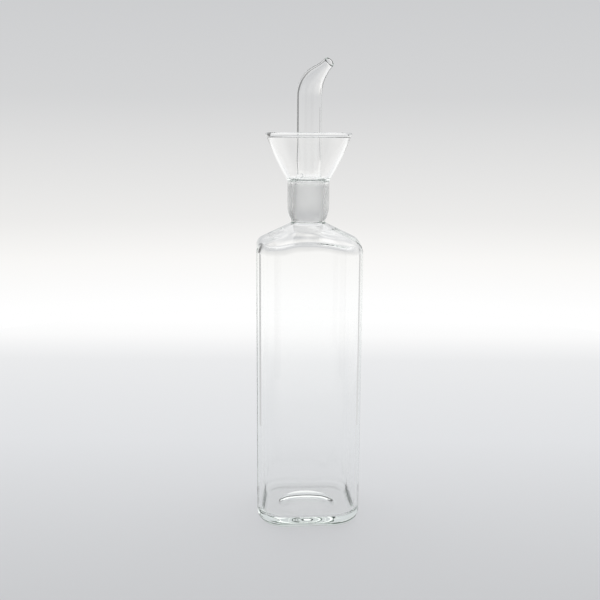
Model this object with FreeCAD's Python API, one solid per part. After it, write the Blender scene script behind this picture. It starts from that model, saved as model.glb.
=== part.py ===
"""Square glass oil bottle with a lift-out pourer in a ground joint.

Millimetres, +Z up. The origin is the middle of the base at table level, and the flat sides face
+X, -X, +Y and -Y. The pourer's spout leans over the corner between +X and -Y.
"""
import FreeCAD, Part
import math
import os

Vector = FreeCAD.Vector

# Bottle body
body_width = 60.0       # across two flat sides
corner_radius = 16.0    # upright corners, outside
wall = 2.4              # sides and shoulder
neck_foot = 175.0       # height where the shoulder's slope would reach the neck
shoulder_slope = 25.5   # degrees below level
shoulder_round = 6.5    # outside edge between shoulder and sides
base_round = 6.4        # outside edge between sides and base
floor_height = 6.2      # inside floor above the table
floor_round = 3.2       # inside edge between sides and floor
punt_radius = 17.0      # round hollow under the base
punt_depth = 2.6
punt_round = 1.6        # edge between the hollow and the resting ring

# Ground joint: both tapers lose one millimetre of diameter in ten of length
joint_diameter = 18.8   # socket at the rim
joint_taper = 0.1
joint_gap = 0.06        # grinding film between cone and socket, measured across the wall
cone_rest = 0.5         # the cone ends this far above the neck's foot
cone_wall = 1.7         # at the lower end
cone_edge = 0.7         # rounding of the cone's lower edges

# Neck around the ground socket
neck_length = 23.2      # from the neck's foot to its rim
neck_wall = 2.6         # at the rim
waist_wall = 1.4        # at the weld to the shoulder
waist_height = 1.4      # weld above the neck's foot
neck_swell = 4.1        # height over which the waist widens to the straight part
bend_share = 0.75       # part of the widening that is rounded
rim_round = 0.3

# Drip funnel
heel_gap = 0.2          # between the neck's rim and the funnel's heel
heel_lip = 0.1          # the heel stands out this far past the neck
heel_height = 0.5       # upright side of the heel
funnel_height = 25.8    # from the heel's underside to the middle of the rolled rim
funnel_diameter = 49.2  # over the rolled rim
funnel_wall = 1.6
groove_width = 0.3      # level floor between the rounded groove and the spout's foot
funnel_floor = 0.6      # glass between the heel's underside and the inside floor
funnel_bulge = 1.2      # how far the wall swells out from a straight line
rim_bead = 2.7          # thickness of the rolled rim
bead_cover = 0.25       # the rolled rim stands out this far past the wall

# Spout
spout_diameter = 14.3
spout_wall = 1.4
spout_rise = 46.2       # straight tube above the funnel's floor
spout_bend = 14.5       # radius of the bend's middle line
spout_pitch = 37.0      # the tip points this many degrees above level
tip_length = 11.1       # straight tip after the bend
tip_diameter = 6.1
tip_wall = 1.1
taper_delay = 1.2       # above one, the tube keeps its width further into the bend
spout_heading = -45.0   # degrees from +X, seen from above
foot_flare = 0.4        # the weld at the foot stands out this far
foot_pinch = 0.2        # the tube is drawn in this far above it
foot_swell = 0.4        # and swells out this far above that
foot_height = 4.5       # from the foot to the drawn-in place
drain_diameter = 3.0    # lets drips run from the funnel into the tube

# Making of the shapes
ring_count = 9          # sections through the bent and drawn-out end
margin = 1.0            # cutting bodies reach this far past what they cut
close = 0.01            # heights this near to each other count as the same


def rounded_outline(corners):
    """Closed wire in the XZ plane through (x, z, rounding) corners, with an arc at each rounding."""
    edges = []
    first = previous = None
    for index, (x, z, rounding) in enumerate(corners):
        corner = Vector(x, 0, z)
        before = Vector(corners[index - 1][0], 0, corners[index - 1][1])
        after_index = (index + 1) % len(corners)
        after = Vector(corners[after_index][0], 0, corners[after_index][1])
        into = (before - corner).normalize()
        out_of = (after - corner).normalize()
        start = end = corner
        arc = None
        if rounding > 0:
            half = into.getAngle(out_of) / 2
            start = corner + into * (rounding / math.tan(half))
            end = corner + out_of * (rounding / math.tan(half))
            inward = (into + out_of).normalize()
            middle = corner + inward * (rounding / math.sin(half) - rounding)
            arc = Part.Arc(start, middle, end).toShape()
        if previous is None:
            first = start
        else:
            edges.append(Part.makeLine(previous, start))
        if arc:
            edges.append(arc)
        previous = end
    edges.append(Part.makeLine(previous, first))
    return Part.Wire(edges)


def turned(corners):
    """Solid of revolution about the Z axis."""
    return Part.Face(rounded_outline(corners)).revolve(Vector(0, 0, 0), Vector(0, 0, 1), 360)


def square_prism(half, radius, bottom, top):
    """Upright prism with a rounded-square outline."""
    block = Part.makeBox(2 * half, 2 * half, top - bottom, Vector(-half, -half, bottom))
    upright = [edge for edge in block.Edges if edge.BoundBox.ZLength > (top - bottom) / 2]
    return block.makeFillet(radius, upright)


def square_form(half, radius, bottom, bottom_round, roof, edge_round):
    """Prism under a turned roof, with its bottom edge and its shoulder edge rounded."""
    highest = max(z for _, z, _ in roof)
    form = square_prism(half, radius, bottom, highest + margin).common(turned(roof))
    foot_edges = [edge for edge in form.Edges if edge.BoundBox.ZMax < bottom + close]
    form = form.makeFillet(bottom_round, foot_edges)
    shoulder_edges = []
    for edge in form.Edges:
        box = edge.BoundBox
        above_foot = box.ZMin > bottom + bottom_round + close
        near_side = math.hypot(edge.CenterOfMass.x, edge.CenterOfMass.y) > half - radius / 4
        if above_foot and near_side and box.ZLength < half / 2:
            shoulder_edges.append(edge)
    return form.makeFillet(edge_round, shoulder_edges)


# Shared heights and radii
half_width = body_width / 2
fall = math.tan(math.radians(shoulder_slope))
far = body_width
weld_height = neck_foot + waist_height
neck_top = neck_foot + neck_length
neck_radius = joint_diameter / 2 + neck_wall
heel_radius = neck_radius + heel_lip
heel_bottom = neck_top + heel_gap
floor_top = heel_bottom + funnel_floor
rim_height = heel_bottom + funnel_height
tube_radius = spout_diameter / 2
bore_radius = tube_radius - spout_wall
tip_radius = tip_diameter / 2


def socket_radius(z):
    """Radius of the ground socket at a height."""
    return joint_diameter / 2 - (neck_top - z) * joint_taper / 2


def cone_radius(z):
    """Radius of the ground cone at a height."""
    return socket_radius(z) - joint_gap


throat_radius = socket_radius(weld_height)
waist_radius = throat_radius + waist_wall


def bottle_body():
    """Square body: outside form, less the inside form and the hollow under the base."""
    outside_roof = [
        (0, -margin, 0),
        (far, -margin, 0),
        (far, neck_foot - (far - waist_radius) * fall, 0),
        (waist_radius, neck_foot, waist_height / 2),
        (waist_radius, weld_height, 0),
        (0, weld_height, 0),
    ]
    outside = square_form(half_width, corner_radius, 0, base_round, outside_roof, shoulder_round)

    drop = wall / math.cos(math.radians(shoulder_slope))
    inside_foot = neck_foot - drop + (waist_radius - throat_radius) * fall
    inside_roof = [
        (0, 0, 0),
        (far, 0, 0),
        (far, inside_foot - (far - throat_radius) * fall, 0),
        (throat_radius, inside_foot, wall),
        (throat_radius, weld_height + margin, 0),
        (0, weld_height + margin, 0),
    ]
    inside = square_form(half_width - wall, corner_radius - wall, floor_height, floor_round,
                         inside_roof, shoulder_round - wall)

    ball_radius = (punt_radius ** 2 + punt_depth ** 2) / (2 * punt_depth)
    punt = Part.makeSphere(ball_radius, Vector(0, 0, punt_depth - ball_radius))
    body = outside.cut(inside).cut(punt)
    ring_edge = [edge for edge in body.Edges
                 if edge.BoundBox.ZMax < close and edge.BoundBox.XLength < 2 * punt_radius + close]
    return body.makeFillet(punt_round, ring_edge)


def neck_socket():
    """Neck tube with the ground socket inside, widening from the waist in a rounded bend."""
    widening = neck_radius - waist_radius
    lean = math.atan2(widening, neck_swell)
    neck_bend = bend_share * math.hypot(widening, neck_swell) / math.tan(lean / 2)
    return turned([
        (throat_radius, weld_height, 0),
        (waist_radius, weld_height, 0),
        (neck_radius, weld_height + neck_swell, neck_bend),
        (neck_radius, neck_top, rim_round),
        (socket_radius(neck_top), neck_top, rim_round / 2),
    ])


def ground_cone():
    """Hollow ground cone that hangs under the funnel's heel."""
    bottom = neck_foot + cone_rest
    return turned([
        (cone_radius(bottom) - cone_wall, bottom, cone_edge),
        (cone_radius(bottom), bottom, cone_edge),
        (cone_radius(heel_bottom), heel_bottom, 0),
        (bore_radius, heel_bottom, 0),
    ])


def drip_funnel():
    """Funnel with a swelling wall, a rolled rim and a rounded groove at the spout's foot."""
    bead_radius = rim_bead / 2
    heel_top = heel_bottom + heel_height
    wall_rise = rim_height - heel_top
    outer_top = funnel_diameter / 2 - bead_cover
    swell_z = (heel_top + rim_height) / 2
    swell_r = (heel_radius + outer_top) / 2 + funnel_bulge
    swell_round = 5 * wall_rise
    across = funnel_wall * math.hypot(wall_rise, outer_top - heel_radius) / wall_rise
    groove_radius = heel_radius - across
    groove_turn = math.pi / 2 + math.atan2(swell_r - heel_radius, swell_z - floor_top)
    groove_reach = groove_radius - tube_radius - foot_flare - groove_width
    wall_body = turned([
        (bore_radius, heel_bottom, 0),
        (heel_radius, heel_bottom, heel_height / 2),
        (heel_radius, heel_top, heel_height),
        (swell_r, swell_z, swell_round),
        (outer_top, rim_height, 0),
        (outer_top - across, rim_height, 0),
        (swell_r - across, swell_z, swell_round),
        (groove_radius, floor_top, groove_reach * math.tan(groove_turn / 2)),
        (bore_radius, floor_top, 0),
    ])
    bead = Part.makeTorus(funnel_diameter / 2 - bead_radius, bead_radius, Vector(0, 0, rim_height))
    return wall_body.fuse(bead).removeSplitter()


def bent_end(start_radius, end_radius, overrun):
    """Bent and drawn-out end of the tube in the XZ plane, from the top of the straight part."""
    bend_angle = math.radians(90 - spout_pitch)
    bend_run = spout_bend * bend_angle
    whole_run = bend_run + tip_length
    sections = []
    for index in range(ring_count):
        share = index / (ring_count - 1)
        run = share * whole_run
        turn = min(run, bend_run) / spout_bend
        straight = max(run - bend_run, 0)
        x = spout_bend * (1 - math.cos(turn)) + straight * math.sin(turn)
        z = spout_bend * math.sin(turn) + straight * math.cos(turn)
        ease = (1 - math.cos(math.pi * share ** taper_delay)) / 2
        radius = start_radius + (end_radius - start_radius) * ease
        section = Part.Wire(Part.makeCircle(radius))
        section.rotate(Vector(0, 0, 0), Vector(0, 1, 0), math.degrees(turn))
        section.translate(Vector(x, 0, floor_top + spout_rise + z))
        sections.append(section)
    if overrun > 0:
        last = sections[-1].copy()
        last.translate(Vector(math.sin(bend_angle), 0, math.cos(bend_angle)) * overrun)
        sections.append(last)
    return Part.makeLoft(sections, True, False)


def upright_tube(radius, flare):
    """Straight part of the tube: foot, drawn-in place and swelling, then even up to the bend."""
    tube_top = floor_top + spout_rise
    pinch_height = floor_top + foot_height
    swell_height = pinch_height + 1.5 * foot_height
    return turned([
        (0, floor_top, 0),
        (radius + flare, floor_top, 0),
        (radius - foot_pinch, pinch_height, 2 * foot_height),
        (radius + foot_swell, swell_height, 5 * foot_height),
        (radius, swell_height + 2 * foot_height, 5 * foot_height),
        (radius, tube_top, 0),
        (0, tube_top, 0),
    ])


def spout_tube():
    """Spout tube with a welded foot, a drain hole and a bent tip drawn out to a small mouth."""
    outside = upright_tube(tube_radius, foot_flare).fuse(bent_end(tube_radius, tip_radius, 0))
    inside = upright_tube(bore_radius, 0).fuse(bent_end(bore_radius, tip_radius - tip_wall, margin))
    drain_height = floor_top + drain_diameter / 2 + foot_flare
    drain = Part.makeCylinder(drain_diameter / 2, tube_radius + foot_flare + margin,
                              Vector(0, 0, drain_height), Vector(-1, 0, 0))
    tube = outside.cut(inside).cut(drain).removeSplitter()
    tube.rotate(Vector(0, 0, 0), Vector(0, 0, 1), spout_heading)
    return tube


os.makedirs("parts", exist_ok=True)
for node in (bottle_body, neck_socket, ground_cone, drip_funnel, spout_tube):
    shape = node()
    shape.exportStep("parts/" + node.__name__ + ".step")
    print(node.__name__, shape.ShapeType, len(shape.Solids), shape.isValid(),
          round(shape.Volume / 1000, 2), "cm3", shape.BoundBox)
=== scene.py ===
import bmesh
import bpy
import math
from mathutils import Matrix, Vector, noise


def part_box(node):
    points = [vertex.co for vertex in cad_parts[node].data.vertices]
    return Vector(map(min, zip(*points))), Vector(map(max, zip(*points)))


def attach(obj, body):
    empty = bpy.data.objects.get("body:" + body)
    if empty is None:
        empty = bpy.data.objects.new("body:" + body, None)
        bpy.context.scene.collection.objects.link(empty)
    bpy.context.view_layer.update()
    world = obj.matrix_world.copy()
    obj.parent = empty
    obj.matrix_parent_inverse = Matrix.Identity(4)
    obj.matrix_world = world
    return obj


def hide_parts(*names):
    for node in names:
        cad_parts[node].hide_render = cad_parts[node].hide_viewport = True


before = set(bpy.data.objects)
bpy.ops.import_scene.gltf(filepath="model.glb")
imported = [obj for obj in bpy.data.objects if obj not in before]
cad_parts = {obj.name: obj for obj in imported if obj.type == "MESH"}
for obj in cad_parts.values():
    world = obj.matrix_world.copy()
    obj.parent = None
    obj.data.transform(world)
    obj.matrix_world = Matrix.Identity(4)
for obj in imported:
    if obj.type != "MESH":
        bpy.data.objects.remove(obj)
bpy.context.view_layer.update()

MM = 0.001

# Sizes read from the frame, in millimetres

body_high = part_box("bottle_body")[1]
neck_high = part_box("neck_socket")[1]
cone_low, cone_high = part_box("ground_cone")
funnel_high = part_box("drip_funnel")[1]
half_width = body_high.x / MM
weld_height = body_high.z / MM
neck_radius = neck_high.x / MM
neck_top = neck_high.z / MM
cone_bottom = cone_low.z / MM
heel_bottom = cone_high.z / MM
rim_radius = funnel_high.x / MM

# Bottle sizes, as in the part

corner_radius = 16.0
wall = 2.4
shoulder_slope = 25.5
shoulder_round = 6.5
base_round = 6.4
floor_height = 6.2
floor_round = 3.2
punt_radius = 17.0
punt_depth = 2.6
punt_round = 1.6
waist_height = 1.4
waist_wall = 1.4
neck_swell = 4.1
bend_share = 0.75
rim_round = 0.3
joint_radius = 9.4
joint_gap = 0.06
joint_taper = 0.1

# Pourer sizes, as in the part

cone_wall = 1.7
heel_lip = 0.1
heel_height = 0.5
funnel_height = 25.8
funnel_wall = 1.6
groove_width = 0.3
funnel_floor = 0.6
funnel_bulge = 1.2
bead_radius = 1.35
bead_cover = 0.25
tube_radius = 7.15
bore_radius = 5.75
spout_rise = 46.2
spout_bend = 14.5
spout_pitch = 37.0
tip_length = 11.1
tip_radius = 3.05
tip_wall = 1.1
taper_delay = 1.2
spout_heading = -45.0
foot_flare = 0.4
foot_pinch = 0.2
foot_swell = 0.4
foot_height = 4.5
drain_radius = 1.5

# Sizes and shares that only the skins of glass need

touch = 0.01                # what counts as lying on a face
slope_lead = 6.0            # the round rings reach this far out over the shoulder's slope
floor_middle = 2.0          # radius of the innermost ring on the inside floor
rest_share = 3              # the round rings reach this many roundings past the hollow
bore_lead = 2.0             # the skin of the pourer starts this far up the cone's bore
cone_edge_share = 0.4       # rounding of the cone's lower edge, as a share of its wall
throat_share = 4            # rounding between the bores of cone and spout, in cone walls
heel_fillet = 0.25          # rounding where the cone meets the heel
bulge_share = 5             # rounding of the funnel's bulge, in heights of the funnel
groove_edge_share = 0.4     # rounding at the spout's foot, as a share of the groove
bead_low_share = 0.8        # the funnel's walls end this far below the rim's middle, in bead radii
bead_overlap = 0.7          # the outer wall ends this far inside its line
bead_start = -35.0          # the rim's outline starts at this angle
bead_sweep = 250.0          # and goes round by this angle
drain_reach = 1.0           # the drill goes this far past the spout's foot
shoulder_wave = 0.25        # largest rise or fall inside the shoulder
wave_lengths = (10, 6, 10)  # along x, y and z
wave_bottom = 150.0         # the waviness starts at this height
wave_fade = 8.0             # and is full this far above it

# Frosting of the ground faces

frost_drop = 2.2            # full frosting starts this far below the top of the neck
least_frost = 0.3           # above that it fades to this share
cone_frost = 0.3            # the cone's frosting as a share of the socket's
cone_margin = 0.05          # the frosted width starts this far inside the cone's lower edge

# Fineness of the meshes

PATH_STEP = 0.8
PUNT_PATH_STEP = 1.2
ARC_PIECES = 9
NO_LENGTH = 1e-6
FLAT_RIBS = 24
CORNER_RIBS = 28
RIBS = 4 * (FLAT_RIBS + CORNER_RIBS)
PUNT_STEPS = 14
SIDE_STEPS = 16
SIDE_END = 0.003
OUTSIDE_ARC_STEPS = 16
INSIDE_ARC_STEPS = 14
OUTSIDE_SLOPE_STEPS = 14
INSIDE_SLOPE_STEPS = 28
BASE_SHARES = (0.25, 0.5, 0.75, 0.95)
FLOOR_SHARES = (0.05, 0.2, 0.4, 0.6, 0.8, 1.0)
POURER_RIBS = 128
BEAD_STEPS = 24
SPOUT_STEPS = 40
LIP_STEPS = 8
DRAIN_SIDES = 40
SHARP_ANGLE = math.radians(50)


def socket_radius(z):
    return joint_radius - (neck_top - z) * joint_taper / 2


def cone_radius(z):
    return socket_radius(z) - joint_gap


def frosting(z):
    """The grinding fades out towards the top of the joint."""
    return min(max((neck_top - z) / frost_drop, least_frost), 1)


# Bottle sizes worked out from the others

neck_foot = weld_height - waist_height
fall = math.tan(math.radians(shoulder_slope))
throat_radius = socket_radius(weld_height)
waist_radius = throat_radius + waist_wall
upright_wall = wall / math.cos(math.radians(shoulder_slope))
inside_foot = neck_foot - upright_wall + (waist_radius - throat_radius) * fall
punt_ball = (punt_radius ** 2 + punt_depth ** 2) / (2 * punt_depth)
rest_radius = punt_radius + rest_share * punt_round
widening = neck_radius - waist_radius
widening_angle = math.atan2(widening, neck_swell)
neck_bend = bend_share * math.hypot(widening, neck_swell) / math.tan(widening_angle / 2)

# Pourer sizes worked out from the others

cone_bore = cone_radius(cone_bottom) - cone_wall
bore_foot = cone_bottom + bore_lead
cone_edge = cone_wall * cone_edge_share
heel_radius = neck_radius + heel_lip
heel_top = heel_bottom + heel_height
floor_top = heel_bottom + funnel_floor
rim_height = heel_bottom + funnel_height
bead_middle = rim_radius - bead_radius
bead_low = rim_height - bead_radius * bead_low_share
funnel_top = rim_radius - bead_cover
funnel_rise = rim_height - heel_top
level_wall = funnel_wall * math.hypot(funnel_rise, funnel_top - heel_radius) / funnel_rise
bulge_height = (heel_top + rim_height) / 2
bulge_radius = (heel_radius + funnel_top) / 2 + funnel_bulge
bulge_round = bulge_share * funnel_rise
groove_radius = heel_radius - level_wall
groove_turn = math.pi / 2 + math.atan2(bulge_radius - heel_radius, bulge_height - floor_top)
groove_reach = groove_radius - tube_radius - foot_flare - groove_width
bend_run = spout_bend * math.radians(90 - spout_pitch)
heading = math.radians(spout_heading)


# Meshes made of rings

def skin(name, rings, ground, first_pole=None, last_pole=None, loop=False):
    """Closed mesh over rings of equal length. ground holds one frosting value per ring."""
    count = len(rings[0])
    points = [Vector(point) * MM for ring in rings for point in ring]
    frost = [value for value in ground for _ in range(count)]
    faces = []
    spans = len(rings) if loop else len(rings) - 1
    for i in range(spans):
        here = i * count
        there = ((i + 1) % len(rings)) * count
        for k in range(count):
            after = (k + 1) % count
            faces.append((here + k, here + after, there + after, there + k))
    if first_pole:
        pole = len(points)
        points.append(Vector(first_pole) * MM)
        frost.append(0.0)
        faces += [(pole, (k + 1) % count, k) for k in range(count)]
    if last_pole:
        pole = len(points)
        base = (len(rings) - 1) * count
        points.append(Vector(last_pole) * MM)
        frost.append(0.0)
        faces += [(pole, base + k, base + (k + 1) % count) for k in range(count)]
    mesh = bpy.data.meshes.new(name)
    mesh.from_pydata(points, [], faces)
    layer = mesh.attributes.new("ground", "FLOAT", "POINT")
    layer.data.foreach_set("value", frost)
    for polygon in mesh.polygons:
        polygon.use_smooth = True
    piece = bpy.data.objects.new(name, mesh)
    bpy.context.scene.collection.objects.link(piece)
    return piece


def rounded_path(corners, step=PATH_STEP):
    """Points (r, z) along corners (r, z, rounding), with an arc at each rounding and filled straights."""
    path = []

    def straight_to(point):
        if path:
            start = path[-1]
            length = (point - start).length
            parts = max(1, math.ceil(length / step)) if length > NO_LENGTH else 0
            for i in range(1, parts):
                path.append(start.lerp(point, i / parts))
        if not path or (point - path[-1]).length > NO_LENGTH:
            path.append(point)

    for i, (r, z, rounding) in enumerate(corners):
        here = Vector((r, z))
        if rounding <= 0 or i in (0, len(corners) - 1):
            straight_to(here)
            continue
        to_before = (Vector(corners[i - 1][:2]) - here).normalized()
        to_after = (Vector(corners[i + 1][:2]) - here).normalized()
        half = to_before.angle(to_after) / 2
        middle = here + (to_before + to_after).normalized() * (rounding / math.sin(half))
        start = here + to_before * (rounding / math.tan(half)) - middle
        end = here + to_after * (rounding / math.tan(half)) - middle
        sweep = start.angle_signed(end)
        straight_to(middle + start)
        for j in range(1, ARC_PIECES + 1):
            path.append(middle + Matrix.Rotation(-sweep * j / ARC_PIECES, 2) @ start)
    return path


# Bottle: ribs run from the hollow under the base, up the outside, over the rim and down the inside

def square_ribs(half, radius):
    """Points and outward normals round a rounded square, starting at the middle of the +X side."""
    flat = half - radius
    ribs = []
    for side in range(4):
        turn = Matrix.Rotation(side * math.pi / 2, 2)
        for i in range(FLAT_RIBS // 2):
            y = flat * i / (FLAT_RIBS // 2)
            ribs.append((turn @ Vector((half, y)), turn @ Vector((1, 0))))
        for i in range(CORNER_RIBS):
            angle = math.pi / 2 * i / CORNER_RIBS
            normal = Vector((math.cos(angle), math.sin(angle)))
            ribs.append((turn @ (Vector((flat, flat)) + normal * radius), turn @ normal))
        for i in range(FLAT_RIBS // 2):
            x = flat * (1 - i / (FLAT_RIBS // 2))
            ribs.append((turn @ Vector((x, half)), turn @ Vector((0, 1))))
    return ribs


def circle(radius, z):
    return [(radius * math.cos(2 * math.pi * k / RIBS), radius * math.sin(2 * math.pi * k / RIBS), z)
            for k in range(RIBS)]


def melt(ring_from, ring_to, share):
    """Ring part way between two rings, turning about the axis and not cutting across it."""
    made = []
    for first, second in zip(ring_from, ring_to):
        first_radius = math.hypot(first[0], first[1])
        second_radius = math.hypot(second[0], second[1])
        first_angle = math.atan2(first[1], first[0])
        second_angle = math.atan2(second[1], second[0])
        turn = (second_angle - first_angle + math.pi) % (2 * math.pi) - math.pi
        radius = first_radius + (second_radius - first_radius) * share
        angle = first_angle + turn * share
        z = first[2] + (second[2] - first[2]) * share
        made.append((radius * math.cos(angle), radius * math.sin(angle), z))
    return made


def square_sides(half, radius, bottom, bottom_round, foot_radius, foot_z, edge_round, arc_steps):
    """Rings from the flat bottom's edge up the sides and over the rounded shoulder edge."""
    ribs = square_ribs(half, radius)
    rings = []
    for j in range(arc_steps + 1):
        angle = math.pi / 2 * j / arc_steps
        inset = bottom_round * (1 - math.sin(angle))
        z = bottom + bottom_round * (1 - math.cos(angle))
        rings.append([(spot.x - normal.x * inset, spot.y - normal.y * inset, z) for spot, normal in ribs])
    edges = []
    for spot, normal in ribs:
        slope = fall * (spot.normalized() @ normal)
        level = foot_z - (spot.length - foot_radius) * fall
        middle = level + slope * edge_round - edge_round * math.sqrt(1 + slope * slope)
        edges.append((middle, math.pi / 2 - math.atan(slope)))
    side_bottom = bottom + bottom_round
    shares = [SIDE_END] + [i / SIDE_STEPS for i in range(1, SIDE_STEPS)] + [1 - SIDE_END]
    for share in shares:
        rings.append([(spot.x, spot.y, side_bottom + (middle - side_bottom) * share)
                      for (spot, _), (middle, _) in zip(ribs, edges)])
    for j in range(arc_steps + 1):
        ring = []
        for (spot, normal), (middle, sweep) in zip(ribs, edges):
            angle = sweep * j / arc_steps
            inset = edge_round * (1 - math.cos(angle))
            z = middle + edge_round * math.sin(angle)
            ring.append((spot.x - normal.x * inset, spot.y - normal.y * inset, z))
        rings.append(ring)
    return rings


def slope_rings(ring_from, ring_to, steps, foot_radius, foot_z):
    """Rings over the shoulder's slope, between a square ring and a round one."""
    rings = []
    for i in range(1, steps):
        ring = melt(ring_from, ring_to, i / steps)
        rings.append([(x, y, foot_z - (math.hypot(x, y) - foot_radius) * fall) for x, y, _ in ring])
    return rings


def wavy(ring):
    """The inside of a blown shoulder is uneven: its points move up and down a little."""
    across, along, upright = wave_lengths
    moved = []
    for x, y, z in ring:
        amount = shoulder_wave * min(max((z - wave_bottom) / wave_fade, 0), 1)
        wave = noise.noise(Vector((x / across, y / along, z / upright)))
        moved.append((x, y, z + amount * wave))
    return moved


def hollow_rings():
    """Rings of the hollow under the base, its rounded edge and the start of the flat resting ring."""
    edge_angle = math.asin(punt_radius / punt_ball)
    corners = [(0.0, punt_depth, 0)]
    for j in range(1, PUNT_STEPS):
        angle = edge_angle * j / PUNT_STEPS
        corners.append((punt_ball * math.sin(angle), punt_depth - punt_ball * (1 - math.cos(angle)), 0))
    corners.append((punt_radius, 0.0, punt_round))
    corners.append((rest_radius, 0.0, 0))
    path = rounded_path(corners, step=PUNT_PATH_STEP)
    return [circle(point.x, point.y) for point in path[1:]]


def neck_path():
    """Outline from the shoulder's slope up the outside of the neck, over the rim and down the socket."""
    return rounded_path([
        (waist_radius + slope_lead, neck_foot - slope_lead * fall, 0),
        (waist_radius, neck_foot, waist_height / 2),
        (waist_radius, weld_height, waist_height / 2),
        (neck_radius, weld_height + neck_swell, neck_bend),
        (neck_radius, neck_top, rim_round),
        (socket_radius(neck_top), neck_top, rim_round / 2),
        (throat_radius, weld_height, 0),
    ])


def inside_rings():
    """Rings from below the socket over the inside of the shoulder, down the sides and over the floor."""
    throat = rounded_path([
        (throat_radius, weld_height, 0),
        (throat_radius, inside_foot, wall),
        (throat_radius + slope_lead, inside_foot - slope_lead * fall, 0),
    ])
    rings = [circle(point.x, point.y) for point in throat[1:]]
    sides = square_sides(half_width - wall, corner_radius - wall, floor_height, floor_round,
                         throat_radius, inside_foot, shoulder_round - wall, INSIDE_ARC_STEPS)
    sides.reverse()
    slope = slope_rings(rings[-1], sides[0], INSIDE_SLOPE_STEPS, throat_radius, inside_foot)
    rings += [wavy(ring) for ring in slope + sides]
    floor_edge = rings[-1]
    middle = circle(floor_middle, floor_height)
    rings += [melt(floor_edge, middle, share) for share in FLOOR_SHARES]
    return rings


def bottle_glass():
    """Body and neck as one closed skin, frosted in the socket."""
    rings = hollow_rings()
    rest_start = rings[-1]
    outside = square_sides(half_width, corner_radius, 0, base_round,
                           waist_radius, neck_foot, shoulder_round, OUTSIDE_ARC_STEPS)
    rings += [melt(rest_start, outside[0], share) for share in BASE_SHARES]
    rings += outside
    neck = neck_path()
    neck_start = circle(neck[0].x, neck[0].y)
    rings += slope_rings(outside[-1], neck_start, OUTSIDE_SLOPE_STEPS, waist_radius, neck_foot)
    ground = [0.0] * len(rings)
    passed_rim = False
    for point in neck:
        passed_rim = passed_rim or point.y > neck_top - touch
        in_socket = passed_rim and point.x < joint_radius + touch
        rings.append(circle(point.x, point.y))
        ground.append(frosting(point.y) if in_socket else 0.0)
    inside = inside_rings()
    rings += inside
    ground += [0.0] * len(inside)
    return skin("bottle_glass", rings, ground, (0, 0, punt_depth), (0, 0, floor_height))


# Pourer: one closed skin, up the cone and funnel, over the rim, up the spout and back down its bore

def tilted_ring(x, z, tilt, radius):
    """Ring round the spout's middle line, which bends in the upright plane of its heading."""
    along = Vector((math.cos(heading), math.sin(heading), 0))
    across = Vector((-math.sin(heading), math.cos(heading), 0))
    middle = along * x + Vector((0, 0, z))
    lean = along * math.cos(tilt) - Vector((0, 0, math.sin(tilt)))
    ring = []
    for k in range(POURER_RIBS):
        angle = 2 * math.pi * k / POURER_RIBS
        ring.append(middle + lean * (radius * math.cos(angle)) + across * (radius * math.sin(angle)))
    return ring


def spout_ring(run, radius):
    """Ring at a distance along the middle line of the bend and the tip."""
    turn = min(run, bend_run) / spout_bend
    straight = max(run - bend_run, 0)
    x = spout_bend * (1 - math.cos(turn)) + straight * math.sin(turn)
    z = spout_bend * math.sin(turn) + straight * math.cos(turn)
    return tilted_ring(x, floor_top + spout_rise + z, turn, radius)


def spout_end():
    """Rings up the outside of the bent end, over the melted lip and back down the inside."""
    lip = tip_wall / 2
    whole_run = bend_run + tip_length - lip
    tip_bore = tip_radius - tip_wall
    outer = []
    inner = []
    for i in range(1, SPOUT_STEPS + 1):
        share = i / SPOUT_STEPS
        ease = (1 - math.cos(math.pi * share ** taper_delay)) / 2
        outer.append(spout_ring(share * whole_run, tube_radius + (tip_radius - tube_radius) * ease))
        inner.append(spout_ring(share * whole_run, bore_radius + (tip_bore - bore_radius) * ease))
    over = []
    for i in range(1, LIP_STEPS):
        angle = math.pi * i / LIP_STEPS
        over.append(spout_ring(whole_run + lip * math.sin(angle), tip_radius - lip + lip * math.cos(angle)))
    return outer + over + inner[::-1]


def upright_tube(radius):
    """Outline of the straight part: drawn in above the foot, then swelling, then even up to the bend."""
    pinch_height = floor_top + foot_height
    swell_height = pinch_height + 1.5 * foot_height
    return [
        (radius - foot_pinch, pinch_height, 2 * foot_height),
        (radius + foot_swell, swell_height, 5 * foot_height),
        (radius, swell_height + 2 * foot_height, 5 * foot_height),
        (radius, floor_top + spout_rise, 0),
    ]


def pourer_outside():
    """Outline round the cone's lower edge, up the cone, round the heel and up the funnel."""
    return rounded_path([
        (cone_bore, bore_foot, 0),
        (cone_bore, cone_bottom, cone_edge),
        (cone_radius(cone_bottom), cone_bottom, cone_edge),
        (cone_radius(heel_bottom), heel_bottom, heel_fillet),
        (heel_radius, heel_bottom, heel_height / 2),
        (heel_radius, heel_top, heel_height),
        (bulge_radius, bulge_height, bulge_round),
        (funnel_top - bead_overlap, bead_low, 0),
    ])


def rim_bead():
    """Outline of the funnel's rolled rim, from its outer side over the top to its inner side."""
    bead = []
    for i in range(BEAD_STEPS + 1):
        angle = math.radians(bead_start + bead_sweep * i / BEAD_STEPS)
        bead.append(Vector((bead_middle + bead_radius * math.cos(angle),
                            rim_height + bead_radius * math.sin(angle))))
    return bead


def pourer_inside():
    """Outline down the inside of the funnel, through its groove and up the spout."""
    return rounded_path([
        (funnel_top - level_wall, bead_low, 0),
        (bulge_radius - level_wall, bulge_height, bulge_round),
        (groove_radius, floor_top, groove_reach * math.tan(groove_turn / 2)),
        (tube_radius + foot_flare, floor_top, groove_width * groove_edge_share),
        *upright_tube(tube_radius),
    ])


def pourer_bore():
    """Outline down the bore of the spout and on into the cone."""
    return rounded_path([
        *upright_tube(bore_radius)[::-1],
        (bore_radius, heel_bottom, throat_share * cone_wall),
        (cone_bore, bore_foot, 0),
    ])


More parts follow.
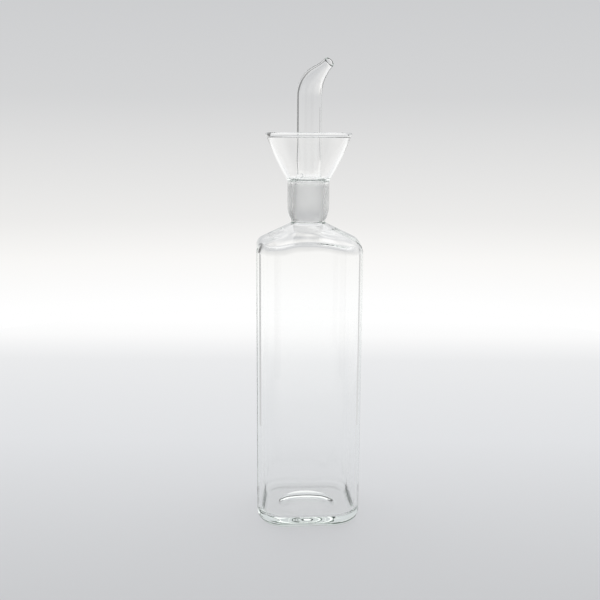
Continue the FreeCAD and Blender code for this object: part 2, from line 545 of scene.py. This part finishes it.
def pourer_frosting(point):
    """Light frosting within the cone's width: on the cone, and faint in the groove right above it."""
    in_width = cone_radius(cone_bottom) - cone_margin < point.x < cone_radius(heel_bottom) + touch
    above_edge = point.y > cone_bottom + cone_edge
    return cone_frost * frosting(point.y) if in_width and above_edge else 0.0


def drill(piece, start, end, radius):
    """Round hole through a piece, from one point to another."""
    axis = end - start
    cutter_mesh = bpy.data.meshes.new("cutter")
    tool = bmesh.new()
    bmesh.ops.create_cone(tool, cap_ends=True, segments=DRAIN_SIDES, radius1=radius * MM,
                          radius2=radius * MM, depth=axis.length * MM)
    tool.to_mesh(cutter_mesh)
    tool.free()
    cutter = bpy.data.objects.new("cutter", cutter_mesh)
    bpy.context.scene.collection.objects.link(cutter)
    middle = (start + end) / 2 * MM
    cutter.matrix_world = Matrix.Translation(middle) @ axis.to_track_quat("Z", "Y").to_matrix().to_4x4()
    cut = piece.modifiers.new("drain", "BOOLEAN")
    cut.object = cutter
    cut.operation = "DIFFERENCE"
    cut.solver = "EXACT"
    bpy.context.view_layer.update()
    solid = piece.evaluated_get(bpy.context.evaluated_depsgraph_get())
    mesh = bpy.data.meshes.new_from_object(solid)
    piece.modifiers.clear()
    piece.data = mesh
    mesh.set_sharp_from_angle(angle=SHARP_ANGLE)
    bpy.data.objects.remove(cutter)


def drain_point(reach):
    """Point of the drain hole's middle line, on the side away from the spout's bend."""
    away_from_bend = math.radians(spout_heading + 180)
    height = floor_top + drain_radius + foot_flare
    return Vector((reach * math.cos(away_from_bend), reach * math.sin(away_from_bend), height))


def pourer_glass():
    """Cone, funnel and spout as one closed skin, with the drain hole in the spout's foot."""
    rings = []
    ground = []
    for point in pourer_outside() + rim_bead() + pourer_inside():
        rings.append(tilted_ring(0, point.y, 0, point.x))
        ground.append(pourer_frosting(point))
    rings += spout_end()
    rings += [tilted_ring(0, point.y, 0, point.x) for point in pourer_bore()[:-1]]
    ground += [0.0] * (len(rings) - len(ground))
    piece = skin("pourer_glass", rings, ground, loop=True)
    drill(piece, drain_point(bore_radius / 2), drain_point(tube_radius + foot_flare + drain_reach),
          drain_radius)
    return piece


# Shader nodes

def feed(tree, socket, value):
    """Gives a socket a fixed value or another node's output."""
    if isinstance(value, bpy.types.NodeSocket):
        tree.links.new(value, socket)
    else:
        socket.default_value = value


def number_maths(tree, operation, *values):
    """Output of a maths node."""
    node = tree.nodes.new("ShaderNodeMath")
    node.operation = operation
    for socket, value in zip(node.inputs, values):
        feed(tree, socket, value)
    return node.outputs[0]


def vector_maths(tree, operation, first, second):
    """Output of a vector maths node. SCALE takes a number as its second value."""
    node = tree.nodes.new("ShaderNodeVectorMath")
    node.operation = operation
    feed(tree, node.inputs[0], first)
    feed(tree, node.inputs["Scale"] if operation == "SCALE" else node.inputs[1], second)
    return node.outputs["Value" if operation == "DOT_PRODUCT" else "Vector"]


def map_range(tree, value, start, end, low=0.0, high=1.0):
    """Number that goes from low to high while the value goes from start to end."""
    node = tree.nodes.new("ShaderNodeMapRange")
    node.inputs["From Min"].default_value = start
    node.inputs["From Max"].default_value = end
    node.inputs["To Min"].default_value = low
    node.inputs["To Max"].default_value = high
    tree.links.new(value, node.inputs["Value"])
    return node.outputs["Result"]


def upright_part(tree, vector):
    """Z of a vector."""
    split = tree.nodes.new("ShaderNodeSeparateXYZ")
    tree.links.new(vector, split.inputs[0])
    return split.outputs["Z"]


# Glass

GLASS_INDEX = 1.48
GLASS_TINT = (0.40, 0.83, 0.59, 1)
TINT_DENSITY = 2.0
GROUND_ROUGHNESS = 0.45


def glass_material():
    """Clear glass, frosted where the mesh says it is ground, faintly green through its thickness."""
    material = bpy.data.materials.new("clear_glass")
    material.use_nodes = True
    tree = material.node_tree
    shader = tree.nodes["Principled BSDF"]
    shader.inputs["Base Color"].default_value = (1, 1, 1, 1)
    shader.inputs["Transmission Weight"].default_value = 1.0
    shader.inputs["IOR"].default_value = GLASS_INDEX
    ground = tree.nodes.new("ShaderNodeAttribute")
    ground.attribute_name = "ground"
    rough = map_range(tree, ground.outputs["Fac"], 0, 1, high=GROUND_ROUGHNESS)
    tree.links.new(rough, shader.inputs["Roughness"])
    tint = tree.nodes.new("ShaderNodeVolumeAbsorption")
    tint.inputs["Color"].default_value = GLASS_TINT
    tint.inputs["Density"].default_value = TINT_DENSITY
    tree.links.new(tint.outputs["Volume"], tree.nodes["Material Output"].inputs["Volume"])
    return material


glass = glass_material()
bottle = bottle_glass()
bottle.data.materials.append(glass)
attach(bottle, "bottle")
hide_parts("bottle_body", "neck_socket")

pourer = pourer_glass()
pourer.data.materials.append(glass)
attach(pourer, "pourer")
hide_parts("ground_cone", "drip_funnel", "spout_tube")


# Camera at the photograph's place, with its focal length in pixels

IMAGE_SIDE = 600
SENSOR_WIDTH = 36
NEAREST_SEEN = 0.01
camera_focal = 857.0
camera_tilt = math.radians(10.92)
camera_roll = math.radians(0.325)
camera_yaw = math.radians(3.6)
camera_away = 491.4
camera_height = 224.3
camera_side = 4.45

yaw_cos = math.cos(camera_yaw)
yaw_sin = math.sin(camera_yaw)
away = (yaw_sin, yaw_cos, 0)
right = Vector((yaw_cos, -yaw_sin, 0))
forward = Vector((yaw_sin * math.cos(camera_tilt), yaw_cos * math.cos(camera_tilt), -math.sin(camera_tilt)))
up = right.cross(forward)
turned_right = right * math.cos(camera_roll) + up * math.sin(camera_roll)
turned_up = turned_right.cross(forward)
camera_x = -camera_side * yaw_cos - camera_away * yaw_sin
camera_y = camera_side * yaw_sin - camera_away * yaw_cos
camera_place = Vector((camera_x, camera_y, camera_height)) * MM
camera_axes = Matrix((turned_right, turned_up, -forward)).transposed()

camera = bpy.data.objects.new("camera", bpy.data.cameras.new("camera"))
camera.data.sensor_width = SENSOR_WIDTH
camera.data.lens = camera_focal / IMAGE_SIDE * SENSOR_WIDTH
camera.data.clip_start = NEAREST_SEEN
camera.matrix_world = Matrix.Translation(camera_place) @ camera_axes.to_4x4()
bpy.context.scene.collection.objects.link(camera)
bpy.context.scene.camera = camera


# Stage: a pale round floor whose brightness is mostly a glow of painted light, a plain surround and cards
# that only the glass sees, in metres

FLOOR_SINK = 0.0003         # the floor lies this far below the base
FLOOR_RADIUS = 0.6
SHADED_SHARE = 0.2          # share of the floor's brightness that a shadow can take away
SURROUND_LIGHT = 0.76       # how brightly the surround lights the floor
CEILING_SHADE = 0.35        # what is left of the surround's light high up on the camera's side
CEILING_START = 0.25        # that dimming starts at this height
CEILING_FULL = 0.45         # and is full at this one
CEILING_FADE = 0.2          # it fades out over this depth on both sides of the middle
COOL_RED = 0.014            # red that a coolness of 1 takes away
COOL_BLUE = 0.024           # blue that it adds
WALL_FACES = 2              # faces passed by a path that runs along a wall
HOLLOW_FACES = 4            # faces passed by a path that crosses a hollow piece
HALF_A_FACE = 0.5
BOUNCES = 32

# Tones as (place, grey, coolness), where a negative coolness is warm

# The floor's tones are painted light: its glow is darkest and coolest a little in front of the bottle, and
# brightens towards the back, the sides and the camera
PAINTED_LIGHT_BY_DEPTH = (
    (-0.3, 1.0, 0),
    (-0.15, 0.57, 1),
    (0.12, 0.76, 1),
    (0.35, 0.83, 0.5),
    (0.46, 0.96, 0),
    (0.55, 1.0, 0),
)
PAINTED_LIGHT_BY_SIDE = (
    (0.24, 0.57, 1),
    (0.31, 0.84, 0.5),
    (0.37, 0.96, 0),
    (0.44, 1.0, 0),
)
SKY_TONES = (
    (-0.19, 1.0, 0),
    (-0.14, 0.94, -0.6),
    (-0.095, 0.84, -0.5),
    (-0.005, 0.73, 0),
    (0.042, 0.665, 0.4),
    (0.15, 0.617, 0.8),
    (0.35, 0.72, 0.4),
    (0.6, 1.1, 0),
    (0.9, 1.4, 0),
)


def plane(name, corners):
    """Flat piece of the stage."""
    mesh = bpy.data.meshes.new(name)
    mesh.from_pydata(corners, [], [range(len(corners))])
    piece = bpy.data.objects.new(name, mesh)
    bpy.context.scene.collection.objects.link(piece)
    return piece


def bare_material(name):
    """Material with nothing but its output node."""
    material = bpy.data.materials.new(name)
    material.use_nodes = True
    nodes = material.node_tree.nodes
    nodes.remove(nodes["Principled BSDF"])
    return material


def show(tree, shader):
    """Puts a shader on the surface."""
    tree.links.new(shader, tree.nodes["Material Output"].inputs["Surface"])


def tone_ramp(tree, place, tones):
    """Colours along a line, through the given tones."""
    low = tones[0][0]
    high = tones[-1][0]
    ramp = tree.nodes.new("ShaderNodeValToRGB")
    elements = ramp.color_ramp.elements
    while len(elements) < len(tones):
        elements.new(0.5)
    for element, (spot, tone, cool) in zip(elements, tones):
        element.position = (spot - low) / (high - low)
        element.color = (tone * (1 - COOL_RED * cool), tone, tone * (1 + COOL_BLUE * cool), 1)
    tree.links.new(map_range(tree, place, low, high), ramp.inputs["Fac"])
    return ramp.outputs["Color"]


def floor_material():
    """Pale floor that keeps a soft shadow and brightens towards its edge; most of its brightness is a glow
    of painted light.
    """
    material = bare_material("floor")
    tree = material.node_tree
    place = tree.nodes.new("ShaderNodeNewGeometry").outputs["Position"]
    depth = vector_maths(tree, "DOT_PRODUCT", place, away)
    sideways = vector_maths(tree, "DOT_PRODUCT", place, right)
    either_side = number_maths(tree, "ABSOLUTE", sideways)
    # Painted light: the floor's tone changes with the place on the floor, taking the brighter of the depth
    # and side ramps
    painted_floor_light = vector_maths(tree, "MAXIMUM", tone_ramp(tree, depth, PAINTED_LIGHT_BY_DEPTH),
                         tone_ramp(tree, either_side, PAINTED_LIGHT_BY_SIDE))
    # The glow carries the painted light; only the matt part below can take a shadow
    glow = tree.nodes.new("ShaderNodeEmission")
    glow.inputs["Strength"].default_value = 1 - SHADED_SHARE
    tree.links.new(painted_floor_light, glow.inputs["Color"])
    matt = tree.nodes.new("ShaderNodeBsdfDiffuse")
    dimmed = vector_maths(tree, "SCALE", painted_floor_light, SHADED_SHARE / SURROUND_LIGHT)
    tree.links.new(dimmed, matt.inputs["Color"])
    both = tree.nodes.new("ShaderNodeAddShader")
    tree.links.new(glow.outputs[0], both.inputs[0])
    tree.links.new(matt.outputs[0], both.inputs[1])
    show(tree, both.outputs[0])
    return material


def card(name, start, end, bottom, top, low_tone, high_tone):
    """Upright card between two points of the floor, shaded from bottom to top, seen only by the glass."""
    piece = plane(name, [(*start, bottom), (*end, bottom), (*end, top), (*start, top)])
    material = bare_material(name)
    tree = material.node_tree
    place = tree.nodes.new("ShaderNodeNewGeometry").outputs["Position"]
    height = upright_part(tree, place)
    glow = tree.nodes.new("ShaderNodeEmission")
    glow.name = "glow"
    shade = tone_ramp(tree, height, ((bottom, low_tone, 0), (top, high_tone, 0)))
    tree.links.new(shade, glow.inputs["Color"])
    show(tree, glow.outputs[0])
    piece.data.materials.append(material)
    piece.visible_camera = False
    piece.visible_diffuse = False
    piece.visible_shadow = False
    return piece


def edge_card(name, through_others=True, **shape):
    """Card seen only along the glass edges, where a path stays in the wall and does not cross the hollow.

    Running along a wall passes two faces, and crossing another hollow piece on the way passes four more.
    through_others says if the card is also seen on a path that crosses such pieces.
    """
    piece = card(name, **shape)
    tree = piece.data.materials[0].node_tree
    faces = tree.nodes.new("ShaderNodeLightPath").outputs["Transmission Depth"]
    if through_others:
        faces = number_maths(tree, "MODULO", faces, HOLLOW_FACES)
    along_wall = number_maths(tree, "COMPARE", faces, WALL_FACES, HALF_A_FACE)
    clear = tree.nodes.new("ShaderNodeBsdfTransparent")
    either = tree.nodes.new("ShaderNodeMixShader")
    tree.links.new(along_wall, either.inputs["Fac"])
    tree.links.new(clear.outputs[0], either.inputs[1])
    tree.links.new(tree.nodes["glow"].outputs[0], either.inputs[2])
    show(tree, either.outputs[0])


def sky():
    """Plain surround with greys that change with the height, dimmed high up on the camera's side."""
    world = bpy.data.worlds.new("world")
    world.use_nodes = True
    tree = world.node_tree
    outward = tree.nodes.new("ShaderNodeTexCoord").outputs["Generated"]
    height = upright_part(tree, outward)
    depth = vector_maths(tree, "DOT_PRODUCT", outward, away)
    high_up = map_range(tree, height, CEILING_START, CEILING_FULL)
    on_camera_side = map_range(tree, depth, CEILING_FADE, -CEILING_FADE)
    both = number_maths(tree, "MULTIPLY", high_up, on_camera_side)
    brightness = map_range(tree, both, 0, 1, low=1.0, high=CEILING_SHADE)
    colour = vector_maths(tree, "SCALE", tone_ramp(tree, height, SKY_TONES), brightness)
    tree.links.new(colour, tree.nodes["Background"].inputs["Color"])
    return world


floor = plane("floor", circle(FLOOR_RADIUS, -FLOOR_SINK))
floor.data.materials.append(floor_material())

# Low cards for the edges of the body, higher ones for the neck, the funnel and the spout,
# front ones for the edges that turn the view back, and one behind the camera for reflections

left_corner = (-0.262, 0.232)
edge_card("low_card_left", start=(-0.0775, 0.053), end=(-0.095, 0.0325), bottom=0.03, top=0.151,
          low_tone=0.6, high_tone=0.45)
edge_card("low_card_right", start=(0.0825, 0.05), end=(0.095, 0.0325), bottom=0.03, top=0.151,
          low_tone=0.68, high_tone=0.55)
edge_card("high_card_left", start=(-0.122, 0.328), end=left_corner, bottom=0.18, top=0.6,
          low_tone=0.1, high_tone=0.4, through_others=False)
edge_card("upper_card_left", start=left_corner, end=(-0.35, 0.05), bottom=0.3, top=0.75,
          low_tone=0.3, high_tone=0.5, through_others=False)
edge_card("middle_card_left", start=(-0.175, 0.303), end=(-0.245, 0.25), bottom=0.13, top=0.225,
          low_tone=0.1, high_tone=0.1)
edge_card("high_card_right", start=(0.243, 0.252), end=(0.276, 0.215), bottom=0.185, top=0.25,
          low_tone=0.35, high_tone=0.35)
for word, side in (("left", -1), ("right", 1)):
    edge_card(f"front_card_{word}", start=(side * 0.122, -0.328), end=(side * 0.262, -0.232),
              bottom=0, top=0.33, low_tone=0.4, high_tone=0.3)
back_card = card("back_card", start=(-0.2, -0.58), end=(0.2, -0.58), bottom=0, top=0.35,
                 low_tone=0.95, high_tone=0.2)
back_card.visible_transmission = False

bpy.context.scene.world = sky()
bpy.context.scene.cycles.max_bounces = BOUNCES
bpy.context.scene.cycles.transmission_bounces = BOUNCES
bpy.context.scene.cycles.glossy_bounces = BOUNCES
bpy.context.scene.view_settings.view_transform = "Standard"
